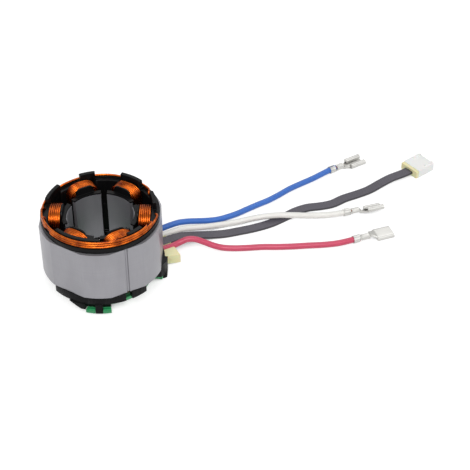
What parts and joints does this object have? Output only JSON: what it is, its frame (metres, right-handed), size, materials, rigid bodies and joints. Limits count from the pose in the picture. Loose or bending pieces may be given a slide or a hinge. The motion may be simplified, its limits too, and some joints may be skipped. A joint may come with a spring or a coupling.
{
  "type": "wound stator",
  "caption": "Brushless motor stator with copper coils on a laminated core, black end insulators, phase leads with push-on receptacles and a sensor ribbon.",
  "frame": {"origin": "on the rotor bore's axis at mid height of the lamination stack", "axes": "+Z along the bore axis towards the castellated insulator, +X to the side of the leads"},
  "size_m": [0.1788, 0.1176, 0.04],
  "materials": {
    "lamination_steel": "pressed and stacked electrical steel",
    "black_nylon": "glass filled moulding",
    "copper_enamel": "enamelled copper wire",
    "board_green": "solder mask over glass fibre",
    "chip_black": "moulded chip",
    "chip_tan": "ceramic chip",
    "tin_plate": "tin plated brass sheet",
    "cream_nylon": "natural nylon",
    "white_nylon": "milky nylon",
    "blue_insulation": "smooth PVC",
    "white_insulation": "smooth PVC",
    "red_insulation": "smooth PVC",
    "ribbon_grey": "ribbed flat cable"
  },
  "bodies": {
    "root": {"stator_core": "lamination_steel", "top_insulator": "black_nylon", "bottom_insulator": "black_nylon", "coil_1": "copper_enamel", "coil_2": "copper_enamel", "coil_3": "copper_enamel", "coil_4": "copper_enamel", "coil_5": "copper_enamel", "coil_6": "copper_enamel", "crossover_wire_1": "copper_enamel", "crossover_wire_2": "copper_enamel", "crossover_wire_3": "copper_enamel", "crossover_wire_4": "copper_enamel", "sensor_board": "board_green", "hall_sensors": "chip_black", "board_parts": "chip_tan", "ribbon_header": "white_nylon", "phase_tab_blue": "tin_plate", "phase_tab_white": "tin_plate", "phase_tab_red": "tin_plate", "lead_clamp": "cream_nylon", "lead_blue": "blue_insulation", "lead_white": "white_insulation", "lead_red": "red_insulation", "sensor_ribbon": "ribbon_grey", "receptacle_blue": "tin_plate", "receptacle_white": "tin_plate", "receptacle_red": "tin_plate", "sensor_plug": "white_nylon", "plug_contacts": "tin_plate", "plug_retainer": "cream_nylon"}
  },
  "joints": []
}
